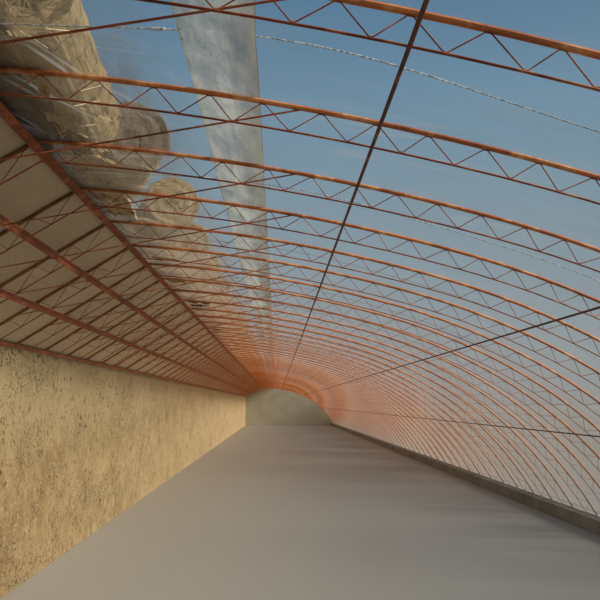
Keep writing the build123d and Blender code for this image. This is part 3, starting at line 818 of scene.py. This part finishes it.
def roll(n, points, uvs, faces):
    """One rolled mat: rings round its axis, drawn in at both ends in ragged turns."""
    centre, axis, sideways, up = roll_frame(n)
    rings = [(i / DOWN - 0.5, 1.0, 0.0) for i in range(DOWN + 1)]
    for i, part in enumerate(END_RINGS):
        inset = TURN_SUNK if i % 4 in (1, 2) else -TURN_PROUD
        rings = [(-0.5, part, inset)] + rings + [(0.5, part, -inset)]
    first = len(points)
    for t, part, inset in rings:
        for j in range(AROUND):
            turn = 2 * pi * j / AROUND
            shag = noise.fractal(Vector((n * 7.3 + t * 6, 2.6 * cos(turn), 2.6 * sin(turn))),
                                 0.9, 2.0, 4)
            ragged = noise.noise(Vector((n * 3 + part * 6, 4 * cos(turn), 4 * sin(turn))))
            radius = ROLL_RADIUS * part * (1.0 - TURN_THICK * j / AROUND + SHAG * shag - 0.02)
            out = (sideways * cos(turn - LOOSE_EDGE)
                   + up * sin(turn - LOOSE_EDGE) * ROLL_FLATTENED)
            end = copysign(RAGGED * ragged, t) * abs(2 * t) ** 8
            points.append(centre + axis * (t * ROLL_LENGTH + inset + end) + out * radius)
            uvs.append((t * ROLL_LENGTH * 10 + part * 3.3 + n * 3.7, turn + part * 2))
    faces += row_faces(first, len(rings), AROUND) + end_faces(first, len(rings), AROUND)


def flat(n, points, uvs, faces):
    """The last turn of a mat, laid over the ridge and running under its roll."""
    middle, first = GABLE_X + MAT_FIRST + n * MAT_PITCH, len(points)
    under_roll = roll_along(n)
    lift, lean = FLAT_STAGGER * (n % 2), tan(ROLL_YAWS[n % UNLIKE])
    for i in range(FLAT_STATIONS):
        t = (i / (FLAT_STATIONS - 1) - 0.5) * (MAT_PITCH + FLAT_LAP)
        end = under_roll - t * lean - FLAT_TUCK
        end = min(end, under_roll + FLAT_REACH - FLAT_CUT * max(0.0, -t - FLAT_CORNER))
        ragged = FLAT_RAGGED * noise.noise(Vector((n * 2.3, t * 9, 0.7)))
        end = max(end, FLAT_LEAST + ragged)
        down = [PAST_RIDGE + (end - PAST_RIDGE) * k / FLAT_ROWS for k in range(FLAT_ROWS + 1)]
        loop = [(rafter, south, REAR_UNDER) for south in FLAT_ON_REAR]
        loop += [(arch, s, FLAT_UNDER) for s in down] + [(arch, s, FLAT_OVER) for s in down[::-1]]
        loop += [(rafter, south, REAR_OVER) for south in FLAT_BACK_ON_REAR]
        for j, (line, place, height) in enumerate(loop):
            shag = FLAT_SHAG * noise.noise(Vector((n + t * 12, place * 30, j * 0.2)))
            fray = FLAT_FRAY * noise.noise(Vector((n * 3.1, j * 1.7, 0.5))) * (2 * t / MAT_PITCH)
            points.append(line(place, height + lift + max(shag, -0.001))
                          + Vector((middle + t + fray, 0, 0)))
            uvs.append((t * 10, place * 8.0 + n * 5.3))
    faces += row_faces(first, FLAT_STATIONS, len(loop))
    faces += end_faces(first, FLAT_STATIONS, len(loop))


def mapped(obj, uvs):
    """Gives a mesh the UV map its straw pattern is read from."""
    layer = obj.data.uv_layers.new(name="mat")
    layer.data.foreach_set("uv", [c for corner in obj.data.loops for c in uvs[corner.vertex_index]])
    return obj


points, uvs, faces, finishes = [], [], [], []
for n in range(MAT_COUNT):
    roll(n, points, uvs, faces)
    # The cut ends of some rolls are grey and darkened as painted shade.
    end_finish = SHADED_CUT_END if n % UNLIKE in SHADED_GREY_ENDS else PLAIN
    at_end = [end_finish] * (AROUND * len(END_RINGS))
    finishes += at_end + [PLAIN] * (AROUND * DOWN) + at_end + [end_finish] * 2
    flat(n, points, uvs, faces)
    # The flats of some mats are darkened as painted shade.
    flat_finish = SHADED_FLAT if n % UNLIKE in SHADED_FLATS else PLAIN
    finishes += [flat_finish] * (len(faces) - len(finishes))
mats = mapped(put("straw_mats_rolled", points, faces, straw_surface("rice straw", *STRAW)), uvs)
mats.data.materials.append(straw_surface("straw in painted shade", *SHADED_FLAT_STRAW))
mats.data.materials.append(straw_surface("cut straw ends in painted shade", *SHADED_CUT_STRAW))
for polygon in mats.data.polygons:
    polygon.material_index = finishes[polygon.index]
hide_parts("straw_mats")

# Loose straws. They have worked out of the mats, stand off every roll and hang from its cut
# ends. Each is drawn as a thin three-sided stalk.

LOOSE_STRAWS, STRAW_RADIUS, STRAW_RIDGE = 130, 0.0009, 1.5
AT_ENDS, END_PLACE, END_SHORTER = 0.55, 0.49, 0.8
END_TURN, END_SPREAD, SIDE_TURNS = -1.5, 0.6, (-2.9, 0.5)
OUT_OF_ROLL, ALONG_ROLL, ROUND_ROLL, OFF_ROLL = (
    (0.985, 1.01), (0.4, 1.0), (-0.7, 0.7), (-0.05, 0.12))
HALF_LENGTHS = (0.015, 0.05)
STALK_FACES = ((0, 3, 4, 1), (1, 4, 5, 2), (2, 5, 3, 0), (0, 1, 2), (5, 4, 3))
LOOSE_DEEP, LOOSE_PALE = (0.42, 0.30, 0.15, 1), (0.86, 0.73, 0.46, 1)
chance = Random(11)
points, uvs, faces = [], [], []
for n in range(MAT_COUNT):
    centre, axis, sideways, up = roll_frame(n)
    film_level = (centre - up * ROLL_RADIUS * ROLL_FLATTENED).z + 0.001
    for _ in range(LOOSE_STRAWS):
        at_end = chance.random() < AT_ENDS
        turn = chance.gauss(END_TURN, END_SPREAD) if at_end else chance.uniform(*SIDE_TURNS)
        out = sideways * cos(turn) + up * sin(turn) * ROLL_FLATTENED
        around = out.cross(axis)
        t = copysign(END_PLACE, chance.random() - 0.5) if at_end else chance.uniform(-0.5, 0.5)
        place = centre + axis * t * ROLL_LENGTH + out * ROLL_RADIUS * chance.uniform(*OUT_OF_ROLL)
        place += Vector((0, 0, max(0.0, film_level - place.z) * 0.6))
        way = (axis * chance.uniform(*ALONG_ROLL) + around * chance.uniform(*ROUND_ROLL)
               + out * chance.uniform(*OFF_ROLL)).normalized()
        way *= chance.uniform(*HALF_LENGTHS) * (END_SHORTER if at_end else 1.0)
        side = way.cross(out).normalized() * STRAW_RADIUS
        top = side.cross(way).normalized() * STRAW_RADIUS * STRAW_RIDGE
        first = len(points)
        for end in (place - way, place + way):
            points += [end + side, end - side, end + top]
        uvs += [(chance.random() * 9, chance.random() * 9)] * 6
        faces += [tuple(first + corner for corner in face) for face in STALK_FACES]
pale_straw, where = surface("loose straws", "UV")
finish(pale_straw, Roughness=0.6,
       Base_Color=where.noise(3.0, 2.0).over(0.3, 0.7).blend(LOOSE_DEEP, LOOSE_PALE))
loose = mapped(put("loose_straws", points, faces, pale_straw, smoothed=False), uvs)

# Press cords. White plastic cord twisted from film is pulled tight over the skin in every second
# bay, from the back edge of the rear roof, under the mats, to a peg in the beam, and keeps the
# film from lifting. Each has a knot just above the vent strip.

CORD_RADIUS, CORD_CLEAR = 0.0016, 0.0022
CORD_LIFT = FILM_OFF - PRESSED / 2 + CORD_RADIUS + CORD_CLEAR
CORD_IN_BAY, CORD_STEP = 0.62, 0.08
CORD_BENT, CORD_BEND_AT, CORD_BEND_OVER = -0.088, 0.74, 0.44
CORD_EAVE, CORD_EAVE_STEP, COVER_FACE = ((-0.006, -0.006), (-0.004, 0.018)), 0.15, 0.0795
CORD_ON_COVER = (0.09, 0.515)
CORD_TO_RIDGE = ((0.556, 0.060), (0.566, 0.024), (0.656, 0.024))
CORD_PAST_RIDGE, CORD_TO_FOOT, CORD_AT_FOOT = 0.05, 0.1, (0.03, 0.014)
CORD_ON_BEAM = ((0.028, 0.004), (0.020, -0.004))
KNOT_AT, KNOT_RADIUS, KNOT_ALONG = 0.462, 0.0036, (-0.013, -0.004, 0.006, 0.014)
CORD_DULLED, CORD_LESS_DULLED_ALONG = (0.46, 0.52), (GABLE_X + 2.1, GABLE_X + 2.9)
CORD_DULL, CORD_SHADE, CORD_WHITE = (
    (0.17, 0.20, 0.22, 1), (0.22, 0.26, 0.28, 1), (0.92, 0.95, 0.95, 1))
cord_material, where = surface("white twisted cord")
# Duller, darker grey in patches along the house, less so towards the far end.
dulled = where.stretched(1.0, 0.0, 0.0).noise(0.7, 2.0, 0.5).over(*CORD_DULLED)
dulled = dulled * (1.0 - 0.75 * where.part(0).over(*CORD_LESS_DULLED_ALONG))
twisted = where.noise(160.0, 2.0).over(0.44, 0.54).blend(CORD_SHADE, CORD_WHITE)
finish(cord_material, Base_Color=dulled.blend(CORD_DULL, twisted), Roughness=0.4,
       Normal=where.noise(400.0, 2.0).bump(0.0008, 0.6))


def over_film(s, height):
    """Place of the cord on the film: it has slid a little out of its bay's middle."""
    slid = CORD_BENT * exp(-((s - CORD_BEND_AT) / CORD_BEND_OVER) ** 2)
    return arch(s, height) + Vector((slid, 0, 0))


def on_beam(north, up):
    """Point north of the beam's outer edge and up from its top."""
    return Vector((0, beam_low.y + north, BEAM_TOP + up))


eave = WALL_FACE_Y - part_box("rear_roof_earth_cover")[1].y
cord_line = [rafter(eave + south, height) for south, height in CORD_EAVE]
cord_line += [rafter(s, COVER_FACE) for s in spaced(
    eave + CORD_ON_COVER[0], CORD_ON_COVER[1], CORD_EAVE_STEP)]
cord_line += [rafter(*place) for place in CORD_TO_RIDGE]
cord_line += [over_film(s, CORD_LIFT) for s in spaced(
    CORD_PAST_RIDGE, FOOT - CORD_TO_FOOT, CORD_STEP)]
cord_line += [arch(FOOT - CORD_AT_FOOT[0], CORD_AT_FOOT[1])]
cord_line += [on_beam(*place) for place in CORD_ON_BEAM]
knot = [over_film(KNOT_AT + along, CORD_LIFT) for along in KNOT_ALONG]
cord_row = {"Count": TRUSSES // CORD_EVERY + 1, "Pitch": BAY * CORD_EVERY}
cords = bars_in_a_row(wires("press_cords", [(CORD_RADIUS, cord_line), (KNOT_RADIUS, knot)]),
                      cord_material, Sides=5, First=GABLE_X + BAY * CORD_IN_BAY, **cord_row)
smooth(cords)
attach(cords, "root")

# Pegs. Short steel rods set near the beam's outer edge, their heads bent towards the house, with
# a cord tied to each. They are brushed with the same primer as the trusses' rods.

PEG_RADIUS, PEG_ASIDE = 0.003, 0.004
PEG_POINTS = ((0.020, -0.020), (0.020, 0.012), (0.026, 0.018), (0.034, 0.014))
peg = [on_beam(*place) for place in PEG_POINTS]
pegs = bars_in_a_row(wires("cord_pegs", [(PEG_RADIUS, peg)]), rod_primer,
                     First=GABLE_X + BAY * CORD_IN_BAY + PEG_ASIDE, **cord_row)
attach(pegs, "root")

# Studio. A plain pale floor, soft sun from the south-west under a plain sky, and a camera that
# stands inside the near end and looks along the house, as in the photograph.

FLOOR_SIZE, FLOOR_DOWN = 400, 0.002
floor_material, where = surface("pale floor")
finish(floor_material, Base_Color=(0.40, 0.375, 0.33, 1), Roughness=0.9)
bpy.ops.mesh.primitive_plane_add(size=FLOOR_SIZE, location=(0, 0, -FLOOR_DOWN))
floor = bpy.context.object
floor.name = "floor"
floor.data.materials.append(floor_material)

# Sky colours from straight down, at 0, past the horizon, at 0.5, to straight up, at 1.
SKY = ((0.0, (0.30, 0.31, 0.31, 1)), (0.5, (0.36, 0.38, 0.38, 1)), (0.56, (0.30, 0.36, 0.39, 1)),
       (0.66, (0.22, 0.325, 0.40, 1)), (0.72, (0.17, 0.30, 0.41, 1)),
       (0.79, (0.095, 0.21, 0.34, 1)), (1.0, (0.09, 0.19, 0.32, 1)))
world = bpy.data.worlds.new("studio")
world.use_nodes = True
sky = Pattern(world.node_tree)
sky = sky.make("TexCoord", {}, "Generated").part(2) * 0.5 + 0.5
sky = sky.make("ValToRGB", {0: sky}, stops=SKY)
world.node_tree.links.new(sky.socket, world.node_tree.nodes["Background"].inputs["Color"])
bpy.context.scene.world = world

SUN_ENERGY, SUN_SOFTNESS, SUN_COLOUR = 5.3, radians(20), (1.0, 0.93, 0.80)
SUN_OFF_ZENITH, SUN_TO_WEST = radians(62), radians(-19)
sun = bpy.data.objects.new("sun", bpy.data.lights.new("sun", "SUN"))
sun.data.energy, sun.data.angle, sun.data.color = SUN_ENERGY, SUN_SOFTNESS, SUN_COLOUR
sun.rotation_euler = (SUN_OFF_ZENITH, 0, SUN_TO_WEST)
bpy.context.scene.collection.objects.link(sun)

CAMERA_SOUTH, CAMERA_UP, CAMERA_IN = 1.364, 0.956, 0.688
CAMERA_PITCH, CAMERA_YAW, LENS = 0.1648, -0.0368, 37.22
camera = bpy.data.objects.new("camera", bpy.data.cameras.new("camera"))
camera.data.lens, camera.data.sensor_width = LENS, 36
camera.data.clip_start, camera.data.clip_end = 0.02, 400
camera.location = (GABLE_X + CAMERA_IN, WALL_FACE_Y - CAMERA_SOUTH, CAMERA_UP)
camera.rotation_euler = (pi / 2 + CAMERA_PITCH, 0, -pi / 2 + CAMERA_YAW)
bpy.context.scene.collection.objects.link(camera)
bpy.context.scene.camera = camera
bpy.context.scene.view_settings.view_transform = "Standard"
